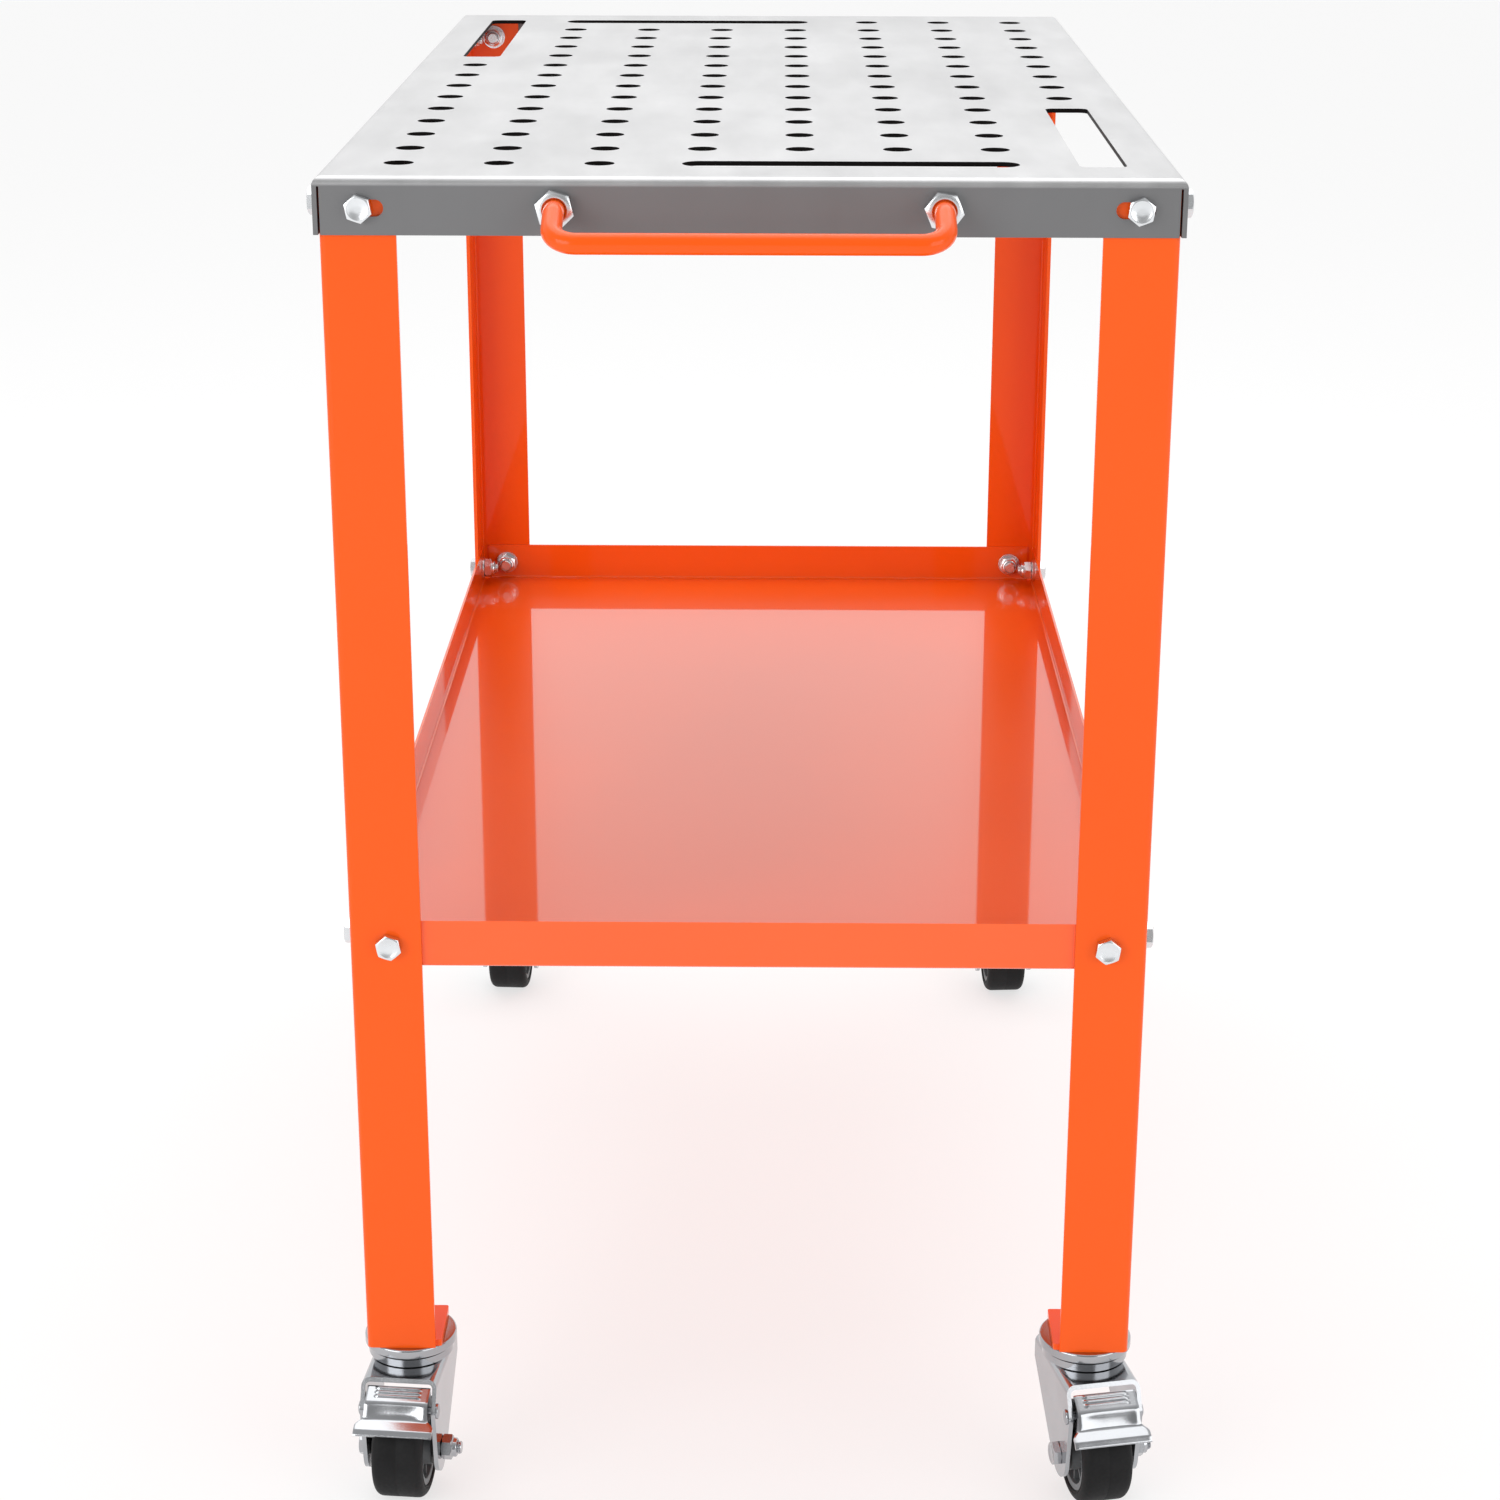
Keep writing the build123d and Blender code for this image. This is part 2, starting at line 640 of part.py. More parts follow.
def write_casters():
    """Every caster has the same pieces, each turned about its own stem."""
    pieces = {
        "fork": make_fork(),
        "swivel_balls": make_balls(),
        "axle_bolt": make_axle_bolt(),
        "axle_nut": make_axle_nut(),
        "axle_bush": make_bush(),
        "wheel_hub": make_hub(),
        "tyre": make_tyre(),
        "brake_pedal": make_pedal(),
        "pedal_pin": make_pedal_pin(),
    }
    for corner, side_x, side_y in corners:
        stem = Pos(side_x * (half_width - stem_from_edge), side_y * (half_length - stem_from_edge), 0)
        place = stem * Rot(0, 0, caster_turns[corner])
        for name, shape in pieces.items():
            if name == "brake_pedal" and corner in locked_casters:
                shape = press_pedal(shape)
            write(f"{corner}_{name}", place * shape)


def write_frame():
    """The pieces that stay still: top, legs, shelf, handle and their fasteners."""
    write("tabletop", make_tabletop())
    write("shelf_tray", make_shelf_tray())
    write("pull_handle", make_handle())
    write("handle_outer_nuts", make_handle_nuts(inside=False))
    write("handle_inner_nuts", make_handle_nuts(inside=True))
    for corner, side_x, side_y in corners:
        write(f"{corner}_leg", make_leg(side_x, side_y))
        write(f"{corner}_foot_plate", make_foot_plate(side_x, side_y))
    top = corner_fasteners(
        half_width - top_bolt_from_edge,
        half_length - top_bolt_from_edge,
        half_width,
        half_length,
        top_bolt_height,
        top_thickness + leg_thickness,
    )
    shelf = corner_fasteners(
        half_width - leg_face - shelf_bolt_from_corner,
        half_length - leg_face - shelf_bolt_from_corner,
        half_width - leg_face,
        half_length - leg_face,
        shelf_bolt_height,
        leg_thickness + shelf_thickness,
    )
    for place, fasteners in (("top", top), ("shelf", shelf)):
        for name, shape in zip(("bolts", "washers", "lock_nuts"), fasteners):
            write(f"{place}_{name}", shape)
    write("caster_stems", at_stems(make_stem()))
    write("caster_stem_nuts", at_stems(make_stem_nut()))
    write("upper_races", at_stems(make_upper_race()))


if __name__ == "__main__":
    write_frame()
    write_casters()
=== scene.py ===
"""Looks of the welding table: finished pieces, materials, light and camera round the CAD frame.

Shapes are worked out in millimetres and written in metres. The front of the table, with its
handle, faces -Y, and +Z is up.
"""
import json
import math

import bmesh
import bpy
from mathutils import Matrix, Vector


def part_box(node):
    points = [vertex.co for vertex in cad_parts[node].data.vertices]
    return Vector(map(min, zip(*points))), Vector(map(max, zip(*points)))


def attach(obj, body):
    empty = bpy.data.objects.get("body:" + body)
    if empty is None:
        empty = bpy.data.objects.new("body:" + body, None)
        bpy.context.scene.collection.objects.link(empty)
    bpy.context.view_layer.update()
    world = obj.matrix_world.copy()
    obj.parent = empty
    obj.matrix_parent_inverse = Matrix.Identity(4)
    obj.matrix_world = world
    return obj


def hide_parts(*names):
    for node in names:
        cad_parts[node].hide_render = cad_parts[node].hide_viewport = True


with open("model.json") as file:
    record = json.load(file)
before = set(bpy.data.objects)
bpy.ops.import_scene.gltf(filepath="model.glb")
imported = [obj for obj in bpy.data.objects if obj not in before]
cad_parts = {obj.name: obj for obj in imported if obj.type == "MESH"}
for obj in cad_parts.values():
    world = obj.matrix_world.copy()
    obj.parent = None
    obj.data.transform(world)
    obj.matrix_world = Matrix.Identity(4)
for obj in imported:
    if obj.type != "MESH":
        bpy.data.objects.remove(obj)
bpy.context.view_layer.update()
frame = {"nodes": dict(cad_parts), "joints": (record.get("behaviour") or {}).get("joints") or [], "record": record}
nodes = frame["nodes"]
CORNERS = ("front_left", "front_right", "rear_left", "rear_right")
SIDES = (-1, 1)
MM = 0.001


# ---------------------------------------------------------------- sizes read from the frame
def in_mm(place):
    return Vector(place) / MM


def box(node):
    """The low and high corners of a CAD node's box, in millimetres."""
    return tuple(in_mm(corner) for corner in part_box(node))


top_low, top_high = box("tabletop")
HALF_WIDTH = top_high.x
FRONT, REAR = top_low.y, top_high.y
TABLE_TOP = top_high.z

leg_low, leg_high = box("rear_right_leg")
LEG_BOTTOM = leg_low.z
LEG_FACE_X = leg_high.x
LEG_FACE_REAR = leg_high.y
LEG_FACE_FRONT = FRONT + REAR - LEG_FACE_REAR

top_bolt_low, top_bolt_high = box("top_bolts")
shelf_bolt_low, shelf_bolt_high = box("shelf_bolts")
TOP_BOLT_HEIGHT = (top_bolt_low.z + top_bolt_high.z) / 2
SHELF_BOLT_HEIGHT = (shelf_bolt_low.z + shelf_bolt_high.z) / 2
BOLT_HEAD = top_bolt_high.x - HALF_WIDTH

# ---------------------------------------------------------------- sizes the CAD model has, in mm
# Sheets
TOP_SHEET = 2.5
LEG_SHEET = 2.5
TRAY_SHEET = 1.5
FOOT_PLATE = 4.0

# M8 fasteners
BOLT_RADIUS = 4.0
BOLT_PITCH = 1.25
BOLT_FLATS = 13.0
BOLT_TAIL = 2.5
LOCK_NUT = 8.0
WASHER_RADIUS = 8.5
WASHER = 1.6
WASHER_BORE = BOLT_RADIUS + 0.35
TOP_BOLT_INSET = 24.0
SHELF_BOLT_INSET = 22.0

# Handle and stem nuts
LARGE_NUT_FLATS = 18.0
HANDLE_RADIUS = 5.5
HANDLE_KNEE = 14.0
HANDLE_BENDS = (18.0, 13.0, 13.0, 18.0)

# Casters
FORK_GAP_HALF = 39.5 / 2
FORK_SHEET = 2.5
FORK_FACE = FORK_GAP_HALF + FORK_SHEET
WHEEL_HALF = 15.0
TYRE_DEPTH = 7.0
TYRE_SHOULDER = 5.0
HUB_BORE = 6.55
HUB_REACH = 17.0
RIM_REACH = 14.0
HUB_RIBS = 8
BUSH_RADIUS = 6.5
BUSH_BORE = 4.06
AXLE_HEAD = 4.5
AXLE_NUT = 9.0
RIVET_RADIUS = 2.5
RIVET_HEAD = 4.5
STEM_RADIUS = 6.0
STEM_PITCH = 1.75
STEM_NUT = 10.0
STEM_TAIL = 3.0
RACE_STACK = 12.5
RACE_RADIUS = 27.0

# Brake pedal: (y, z) from its pin along the middle of the plate, from the ribbed edge to the lip
PEDAL_ROUTE = ((1.8, 13.4), (-8.8, 8.6), (-14.0, 0.2), (-21.0, -2.4), (-23.6, -4.9))
PEDAL_BENDS = (5.0, 4.0, 2.0)
PEDAL_SHEET = 2.0
PEDAL_HALF_BODY = FORK_GAP_HALF - 1.25
PEDAL_HALF_LIP = 23.0
PEDAL_WIDENS_AT = 12.0
PEDAL_WIDENS_OVER = 6.5
RIB_SHARES = (0.36, 0.6, 0.84)
RIB_HALF_WIDTH = 1.15
SCOOP_FRONT, SCOOP_BACK = -15.0, -8.0
SCOOP_DEPTH = 0.5
EAR_ROUTE = ((1.2, 12.6), (-8.4, 8.2), (-13.4, 0.2), (-13.6, -3.4), (-8.0, -5.0))
EAR_RADIUS = 4.6
SHOE_HALF = 12.0
SHOE_BACK, SHOE_FRONT = -4.6, -8.8
SHOE_GAP = 0.35


# ---------------------------------------------------------------- material helpers
def new_material(name):
    material = bpy.data.materials.new(name)
    material.use_nodes = True
    tree = material.node_tree
    return material, tree, tree.nodes["Principled BSDF"]


def feed(tree, node, inputs):
    """Set a node's inputs from plain values or from other nodes' outputs."""
    for name, value in inputs.items():
        if isinstance(value, bpy.types.NodeSocket):
            tree.links.new(value, node.inputs[name])
        else:
            node.inputs[name].default_value = value


def add_node(tree, kind, inputs, **settings):
    node = tree.nodes.new(kind)
    for name, value in settings.items():
        setattr(node, name, value)
    feed(tree, node, inputs)
    return node


def coordinates(tree, output):
    return tree.nodes.new("ShaderNodeTexCoord").outputs[output]


def object_coords(tree, stretch=(1, 1, 1)):
    inputs = {"Vector": coordinates(tree, "Object"), "Scale": stretch}
    return add_node(tree, "ShaderNodeMapping", inputs).outputs["Vector"]


def split(tree, vector):
    return add_node(tree, "ShaderNodeSeparateXYZ", {0: vector}).outputs


def noise(tree, vector, scale, detail=3.0, roughness=0.5):
    inputs = {"Vector": vector, "Scale": scale, "Detail": detail, "Roughness": roughness}
    return add_node(tree, "ShaderNodeTexNoise", inputs).outputs["Fac"]


def remap(tree, value, low, high, out_low=0.0, out_high=1.0):
    inputs = {0: value, 1: low, 2: high, 3: out_low, 4: out_high}
    return add_node(tree, "ShaderNodeMapRange", inputs).outputs[0]


def mix_colour(tree, factor, first, second):
    """Mix two colours, each an (r, g, b) tuple or another node's output."""
    inputs = {"Factor": factor}
    for name, colour in (("A", first), ("B", second)):
        inputs[name] = (*colour, 1) if isinstance(colour, tuple) else colour
    return add_node(tree, "ShaderNodeMix", inputs, data_type="RGBA").outputs["Result"]


def bump(tree, height, strength, distance, normal=None):
    inputs = {"Height": height, "Strength": strength, "Distance": distance}
    if normal is not None:
        inputs["Normal"] = normal
    return add_node(tree, "ShaderNodeBump", inputs).outputs["Normal"]


def maths(tree, operation, first, second=None):
    inputs = {0: first} if second is None else {0: first, 1: second}
    return add_node(tree, "ShaderNodeMath", inputs, operation=operation).outputs[0]


# ---------------------------------------------------------------- materials
ORANGES = (0.91, 0.098, 0.0020), (0.96, 0.106, 0.0024)
STEEL_TOP = (0.47, 0.47, 0.475), (0.61, 0.61, 0.615)
# Folded-flange tone: painted shade, the same steel drawn darker to stand for the dark reflection the flanges
# catch.
STEEL_FLANGE_PAINTED_SHADE = (0.205, 0.205, 0.208), (0.245, 0.245, 0.25)
STEEL_CUT = (0.012, 0.011, 0.011)
FLANGE_ZONE = 12.0


def orange_paint(name, coat, coat_ior):
    """Glossy powder coat: an even orange with a fine orange-peel surface."""
    material, tree, shader = new_material(name)
    vector = object_coords(tree)
    cloud = noise(tree, vector, scale=4.0)
    peel = noise(tree, vector, scale=900.0, detail=1.0)
    feed(tree, shader, {
        "Base Color": mix_colour(tree, remap(tree, cloud, 0.35, 0.65), *ORANGES),
        "Roughness": remap(tree, cloud, 0.3, 0.7, 0.30, 0.34),
        "Normal": bump(tree, peel, strength=0.04, distance=0.00015),
        "Specular IOR Level": 0.15,
        "Coat Weight": coat,
        "Coat IOR": coat_ior,
        "Coat Roughness": 0.035,
    })
    return material


def steel_tone(tree):
    """Uneven tone of bare sheet, 0 to 1: soft clouds and smears across the table."""
    cloud = noise(tree, object_coords(tree), scale=6.0, detail=6.0, roughness=0.62)
    smear = noise(tree, object_coords(tree, (4, 1, 1)), scale=9.0, detail=5.0, roughness=0.65)
    both = maths(tree, "ADD", remap(tree, cloud, 0.3, 0.7), remap(tree, smear, 0.3, 0.7))
    return maths(tree, "MULTIPLY", both, 0.5)


def inside_flanges(tree):
    """1 over the sheet's middle, 0 in the zone of its folded flanges."""
    position = split(tree, coordinates(tree, "Object"))
    centre_y = (FRONT + REAR) / 2 * MM
    reach_x = (HALF_WIDTH - FLANGE_ZONE) * MM
    reach_y = ((REAR - FRONT) / 2 - FLANGE_ZONE) * MM
    inside_x = maths(tree, "LESS_THAN", maths(tree, "ABSOLUTE", position["X"]), reach_x)
    from_middle = maths(tree, "ABSOLUTE", maths(tree, "SUBTRACT", position["Y"], centre_y))
    return maths(tree, "MULTIPLY", inside_x, maths(tree, "LESS_THAN", from_middle, reach_y))


def bare_steel():
    """Bare sheet: a bright top, folded flanges painted darker as painted shade for the dark reflection they catch,
    and dark laser-cut hole walls.
    """
    material, tree, shader = new_material("bare_steel")
    brushed = noise(tree, object_coords(tree, (40, 1.2, 40)), scale=30.0, detail=4.0, roughness=0.6)
    speck = noise(tree, object_coords(tree), scale=700.0, detail=2.0)
    upright = maths(tree, "ABSOLUTE", split(tree, coordinates(tree, "Normal"))["Z"])
    # level is 1 on the top and 0 on the upright flanges: through it the flanges take the painted shade, and its
    # low start keeps most of each bend at the brighter top tone.
    level = remap(tree, upright, 0.05, 0.4)
    tone = steel_tone(tree)
    top = mix_colour(tree, tone, *STEEL_TOP)
    # The flanges' colour is painted shade: a darker copy of the steel tone.
    shaded_flange = mix_colour(tree, tone, *STEEL_FLANGE_PAINTED_SHADE)
    wall = maths(tree, "LESS_THAN", upright, 0.5)
    cut = maths(tree, "MULTIPLY", inside_flanges(tree), wall)
    matt_flange = maths(tree, "MULTIPLY", maths(tree, "SUBTRACT", 1.0, level), 0.22)
    feed(tree, shader, {
        "Base Color": mix_colour(tree, cut, mix_colour(tree, level, shaded_flange, top), STEEL_CUT),
        "Metallic": 1.0,
        "Roughness": maths(tree, "ADD", remap(tree, tone, 0.2, 0.8, 0.36, 0.44), matt_flange),
        "Normal": bump(tree, speck, 0.05, 0.0002, bump(tree, brushed, 0.05, 0.0003)),
    })
    return material


def plated(name, base, roughness, spread=0.08):
    """Zinc plate, mottled in tone and shine."""
    material, tree, shader = new_material(name)
    vector = object_coords(tree)
    cloud = noise(tree, vector, scale=45.0, detail=4.0)
    fine = noise(tree, vector, scale=700.0)
    darker = tuple(0.86 * channel for channel in base)
    feed(tree, shader, {
        "Base Color": mix_colour(tree, remap(tree, cloud, 0.3, 0.7), darker, base),
        "Metallic": 1.0,
        "Roughness": remap(tree, cloud, 0.3, 0.7, roughness, roughness + spread),
        "Normal": bump(tree, fine, strength=0.05, distance=0.0003),
    })
    return material


def plain(name, base, roughness, specular=0.5):
    """Rubber or moulded plastic with a fine grain."""
    material, tree, shader = new_material(name)
    vector = object_coords(tree)
    cloud = noise(tree, vector, scale=60.0, detail=4.0)
    fine = noise(tree, vector, scale=500.0)
    lighter = tuple(min(1, 1.25 * channel + 0.004) for channel in base)
    feed(tree, shader, {
        "Base Color": mix_colour(tree, remap(tree, cloud, 0.3, 0.7), base, lighter),
        "Specular IOR Level": specular,
        "Roughness": remap(tree, fine, 0.3, 0.7, roughness, roughness + 0.1),
        "Normal": bump(tree, fine, strength=0.12, distance=0.0003),
    })
    return material


PAINT = orange_paint("orange_paint", coat=0.35, coat_ior=1.45)
TRAY_PAINT = orange_paint("tray_paint", coat=1.0, coat_ior=1.55)
STEEL = bare_steel()
ZINC = plated("bright_zinc", (0.80, 0.82, 0.84), 0.22)
CASTER = plated("caster_zinc", (0.46, 0.47, 0.49), 0.13, 0.07)
RUBBER = plain("tyre_rubber", (0.0055, 0.0055, 0.006), 0.58, 0.22)
GREY = plain("wheel_grey", (0.12, 0.125, 0.13), 0.42)
DARK = plain("bush_dark", (0.02, 0.02, 0.022), 0.4)
NYLON = plain("nylon_ring", (0.55, 0.62, 0.66), 0.45)
BY_SLOT = {
    "orange_paint": PAINT,
    "bare_steel": STEEL,
    "bright_zinc": ZINC,
    "caster_zinc": CASTER,
    "tyre_rubber": RUBBER,
    "wheel_grey": GREY,
    "bush_dark": DARK,
}


# ---------------------------------------------------------------- mesh helpers
class Builder:
    """Collects closed shells in millimetres and turns them into one piece in metres."""

    def __init__(self):
        self.points = []
        self.faces = []
        self.kinds = []

    def add(self, shell, place=Matrix(), kind=0):
        points, faces = shell
        start = len(self.points)
        self.points += [place @ Vector(point) for point in points]
        self.faces += [[start + index for index in face] for face in faces]
        self.kinds += [kind] * len(faces)

    def piece(self, name, materials, body, slot, replaced=(), sharp=38.0):
        mesh = bpy.data.meshes.new(name)
        mesh.from_pydata([point * MM for point in self.points], [], self.faces)
        for material in materials:
            mesh.materials.append(material)
        for face, kind in zip(mesh.polygons, self.kinds):
            face.material_index = kind
        work = bmesh.new()
        work.from_mesh(mesh)
        bmesh.ops.recalc_face_normals(work, faces=work.faces)
        work.to_mesh(mesh)
        work.free()
        mesh.shade_smooth()
        mesh.set_sharp_from_angle(angle=math.radians(sharp))
        made = bpy.data.objects.new(name, mesh)
        bpy.context.collection.objects.link(made)
        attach(made, body)
        if replaced:
            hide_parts(*replaced)


def loft(rings, closed=False, caps=True):
    """Join rings of equal length: round the ring, and along the list of rings."""
    count = len(rings[0])
    points = [point for ring in rings for point in ring]
    faces = []
    for span in range(len(rings) if closed else len(rings) - 1):
        low = span * count
        high = (span + 1) % len(rings) * count
        for step in range(count):
            after = (step + 1) % count
            faces.append((low + step, low + after, high + after, high + step))
    if caps and not closed:
        faces.append(tuple(reversed(range(count))))
        faces.append(tuple(range(len(points) - count, len(points))))
    return points, faces


def circle(radius, height, segments):
    turns = [2 * math.pi * step / segments for step in range(segments)]
    return [(radius * math.cos(turn), radius * math.sin(turn), height) for turn in turns]


def lathe(profile, segments=64, closed=True):
    """Turn a list of (radius, height) about Z. A closed profile makes a ring."""
    return loft([circle(radius, height, segments) for radius, height in profile], closed=closed)


def mirrored(half):
    """A closed (radius, height) profile from its upper half."""
    return half + [(radius, -height) for radius, height in reversed(half)]


def ring_profile(inner, outer, low, high):
    return [(inner, low), (outer, low), (outer, high), (inner, high)]


def rounded(profile, radius, steps=4):
    """Round every corner of a closed (radius, height) profile."""
    result = []
    count = len(profile)
    for index, corner in enumerate(profile):
        corner = Vector(corner)
        before = Vector(profile[index - 1]) - corner
        after = Vector(profile[(index + 1) % count]) - corner
        reach = min(radius, before.length * 0.45, after.length * 0.45)
        start = corner + before.normalized() * reach
        end = corner + after.normalized() * reach
        for step in range(steps + 1):
            share = step / steps
            result.append(tuple(start.lerp(corner, share).lerp(corner.lerp(end, share), share)))
    return result


def extrude(outline, low, high):
    """A plate with an (x, y) outline, from low to high along z."""
    return loft([[(x, y, level) for x, y in outline] for level in (low, high)])


def side_plate(outline, low, high):
    """A plate with a (y, z) outline, from low to high along x."""
    return loft([[(level, y, z) for y, z in outline] for level in (low, high)])


def facing(place, outward, spin=0.0):
    """A placement whose +Z points outward, turned about itself by spin degrees."""
    turn = Vector(outward).to_track_quat("Z", "Y").to_matrix().to_4x4()
    return Matrix.Translation(place) @ turn @ Matrix.Rotation(math.radians(spin), 4, "Z")


# ---------------------------------------------------------------- threads, heads and nuts
HEX_SEGMENTS = 72
CHAMFER_SHARE = 0.475
CHAMFER_SLOPE = math.tan(math.radians(30))
THREAD_DEPTH_SHARE = 0.54
THREAD_STEPS_PER_TURN = 8
THREAD_CLEARANCE = 0.02


def hex_circle(radius, height):
    return circle(radius, height, HEX_SEGMENTS)


def hexagon_ring(across_flats, height):
    ring = []
    for step in range(HEX_SEGMENTS):
        turn = 2 * math.pi * step / HEX_SEGMENTS
        from_flat = (turn + math.pi / 6) % (math.pi / 3) - math.pi / 6
        radius = across_flats / 2 / math.cos(from_flat)
        ring.append((radius * math.cos(turn), radius * math.sin(turn), height))
    return ring


def chamfered_ring(across_flats, height, down):
    """The curved edge where a 30 degree chamfer meets the six flats."""
    face = across_flats * CHAMFER_SHARE
    ring = []
    for x, y, _ in hexagon_ring(across_flats, 0):
        drop = max(0.0, math.hypot(x, y) - face) * CHAMFER_SLOPE
        ring.append((x, y, height - down * drop))
    return ring


def hexagon_head(across_flats, height):
    """A bolt head on z = 0 with a chamfered top, a shallow dish and a washer face."""
    face = across_flats * CHAMFER_SHARE
    return loft([
        hex_circle(face, 0.0),
        hex_circle(face, 0.35),
        hexagon_ring(across_flats, 0.4),
        chamfered_ring(across_flats, height, 1),
        hex_circle(face, height),
        hex_circle(face * 0.86, height),
        hex_circle(face * 0.78, height - 0.35),
        hex_circle(face * 0.2, height - 0.4),
    ])


def hexagon_nut(across_flats, height, bore, countersink):
    """A nut with chamfers on both faces and a countersunk bore."""
    face = across_flats * CHAMFER_SHARE
    return loft([
        hex_circle(bore + countersink, 0),
        hex_circle(face, 0),
        chamfered_ring(across_flats, 0, -1),
        chamfered_ring(across_flats, height, 1),
        hex_circle(face, height),
        hex_circle(bore + countersink, height),
        hex_circle(bore, height - countersink),
        hex_circle(bore, countersink),
    ], closed=True)


def lock_nut_parts(height):
    """An M8 lock nut's steel body, with its crimped collar, and the nylon ring in it."""
    face = BOLT_FLATS * CHAMFER_SHARE
    collar = BOLT_FLATS * 0.43
    hex_top = height * 0.70
    body = loft([
        hex_circle(BOLT_RADIUS + 0.6, 0),
        hex_circle(face, 0),
        chamfered_ring(BOLT_FLATS, 0, -1),
        chamfered_ring(BOLT_FLATS, hex_top, 1),
        hex_circle(collar + 0.25, hex_top),
        hex_circle(collar, hex_top + 0.3),
        hex_circle(collar, height - 0.8),
        hex_circle(collar - 0.3, height - 0.25),
        hex_circle(collar - 0.9, height),
        hex_circle(collar - 1.3, height - 0.15),
        hex_circle(collar - 1.3, height - 0.6),
        hex_circle(BOLT_RADIUS, height - 0.6),
        hex_circle(BOLT_RADIUS, 0.6),
    ], closed=True)
    nylon = ring_profile(BOLT_RADIUS, collar - 1.32, height - 0.58, height - 0.2)
    return body, lathe(rounded(nylon, 0.15), HEX_SEGMENTS)


def threaded_rod(radius, low, high, pitch, segments=40, chamfer=0.9):
    """A screw with a real helical thread, its two ends turned down."""
    count = max(2, int(round((high - low) / pitch * THREAD_STEPS_PER_TURN)))
    depth = pitch * THREAD_DEPTH_SHARE
    rings = []
    for level in range(count + 1):
        height = low + (high - low) * level / count
        end = min(1.0, (high - height) / chamfer, (height - low) / chamfer)
        ring = []
        for step in range(segments):
            phase = (height / pitch - step / segments) % 1.0
            crest = 1 - abs(2 * phase - 1)
            reach = radius - depth * (1 - min(1.0, crest * 1.15))
            reach = min(reach, radius - depth * (1 - end))
            turn = 2 * math.pi * step / segments
            ring.append((reach * math.cos(turn), reach * math.sin(turn), height))
        rings.append(ring)
    return loft(rings)


def shank(radius, low, high, segments):
    return lathe([(radius, low), (radius, high)], segments, closed=False)


def uneven_turns():
    """A settled but uneven turn for each fastener, as hands leave them."""
    turn = 11.0
    while True:
        yield turn
        turn = (turn * 7.0 + 23.0) % 60.0


def fasten_corners(name, inset, face_x, face_front, face_rear, height, grip):
    """Hexagon bolts, washers and lock nuts at the four corners, two in each."""
    turns = uneven_turns()
    bolts, washers, nuts = Builder(), Builder(), Builder()
    washer = lathe(rounded(ring_profile(WASHER_BORE, WASHER_RADIUS, 0, WASHER), 0.3))
    body, nylon = lock_nut_parts(LOCK_NUT)
    end = grip + WASHER + LOCK_NUT + BOLT_TAIL
    thread = threaded_rod(BOLT_RADIUS - THREAD_CLEARANCE, -end, -grip - WASHER, BOLT_PITCH)
    plain_shank = shank(BOLT_RADIUS, -grip - WASHER + 0.2, 0.2, 48)
    head = hexagon_head(BOLT_FLATS, BOLT_HEAD)
    for side_x in SIDES:
        for side_y in SIDES:
            face_y = face_rear if side_y > 0 else face_front
            on_end = Vector((side_x * (face_x - inset), face_y, height))
            on_side = Vector((side_x * face_x, face_y - side_y * inset, height))
            spots = ((on_end, Vector((0, side_y, 0))), (on_side, Vector((side_x, 0, 0))))
            for spot, outward in spots:
                bolts.add(head, facing(spot, outward, next(turns)))
                bolts.add(plain_shank, facing(spot, outward))
                bolts.add(thread, facing(spot, outward))
                behind = spot - outward * grip
                washers.add(washer, facing(behind, -outward))
                seat = facing(behind - outward * WASHER, -outward, next(turns))
                nuts.add(body, seat)
                nuts.add(nylon, seat, kind=1)
    bolts.piece(f"{name}_bolt_set", [ZINC], "table", "bright_zinc", [f"{name}_bolts"])
    washers.piece(f"{name}_washer_set", [ZINC], "table", "bright_zinc", [f"{name}_washers"])
    nuts.piece(
        f"{name}_lock_nut_set", [ZINC, NYLON], "table", "bright_zinc", [f"{name}_lock_nuts"]
    )


# ---------------------------------------------------------------- pull handle
def tube(route, radius, segments):
    """A round bar along a list of points."""
    rings = []
    side = Vector((0, 0, 1))
    last = len(route) - 1
    for index, point in enumerate(route):
        along = (route[min(index + 1, last)] - route[max(index - 1, 0)]).normalized()
        across = along.cross(side).normalized()
        side = across.cross(along).normalized()
        ring = []
        for step in range(segments):
            turn = 2 * math.pi * step / segments
            ring.append(point + (across * math.cos(turn) + side * math.sin(turn)) * radius)
        rings.append(ring)
    return loft(rings)


def filleted(points, radii, steps=14):
    """The points of a run of straight lines joined by arcs of the given radii."""
    route = [points[0]]
    for index, radius in enumerate(radii, start=1):
        corner = points[index]
        before = (points[index - 1] - corner).normalized()
        after = (points[index + 1] - corner).normalized()
        half = before.angle(after) / 2
        centre = corner + (before + after).normalized() * radius / math.sin(half)
        start = corner + before * radius / math.tan(half) - centre
        end = corner + after * radius / math.tan(half) - centre
        sweep = start.angle(end)
        for step in range(steps + 1):
            share = step / steps
            swung = start * math.sin((1 - share) * sweep) + end * math.sin(share * sweep)
            route.append(centre + swung / math.sin(sweep))
    route.append(points[-1])
    return route


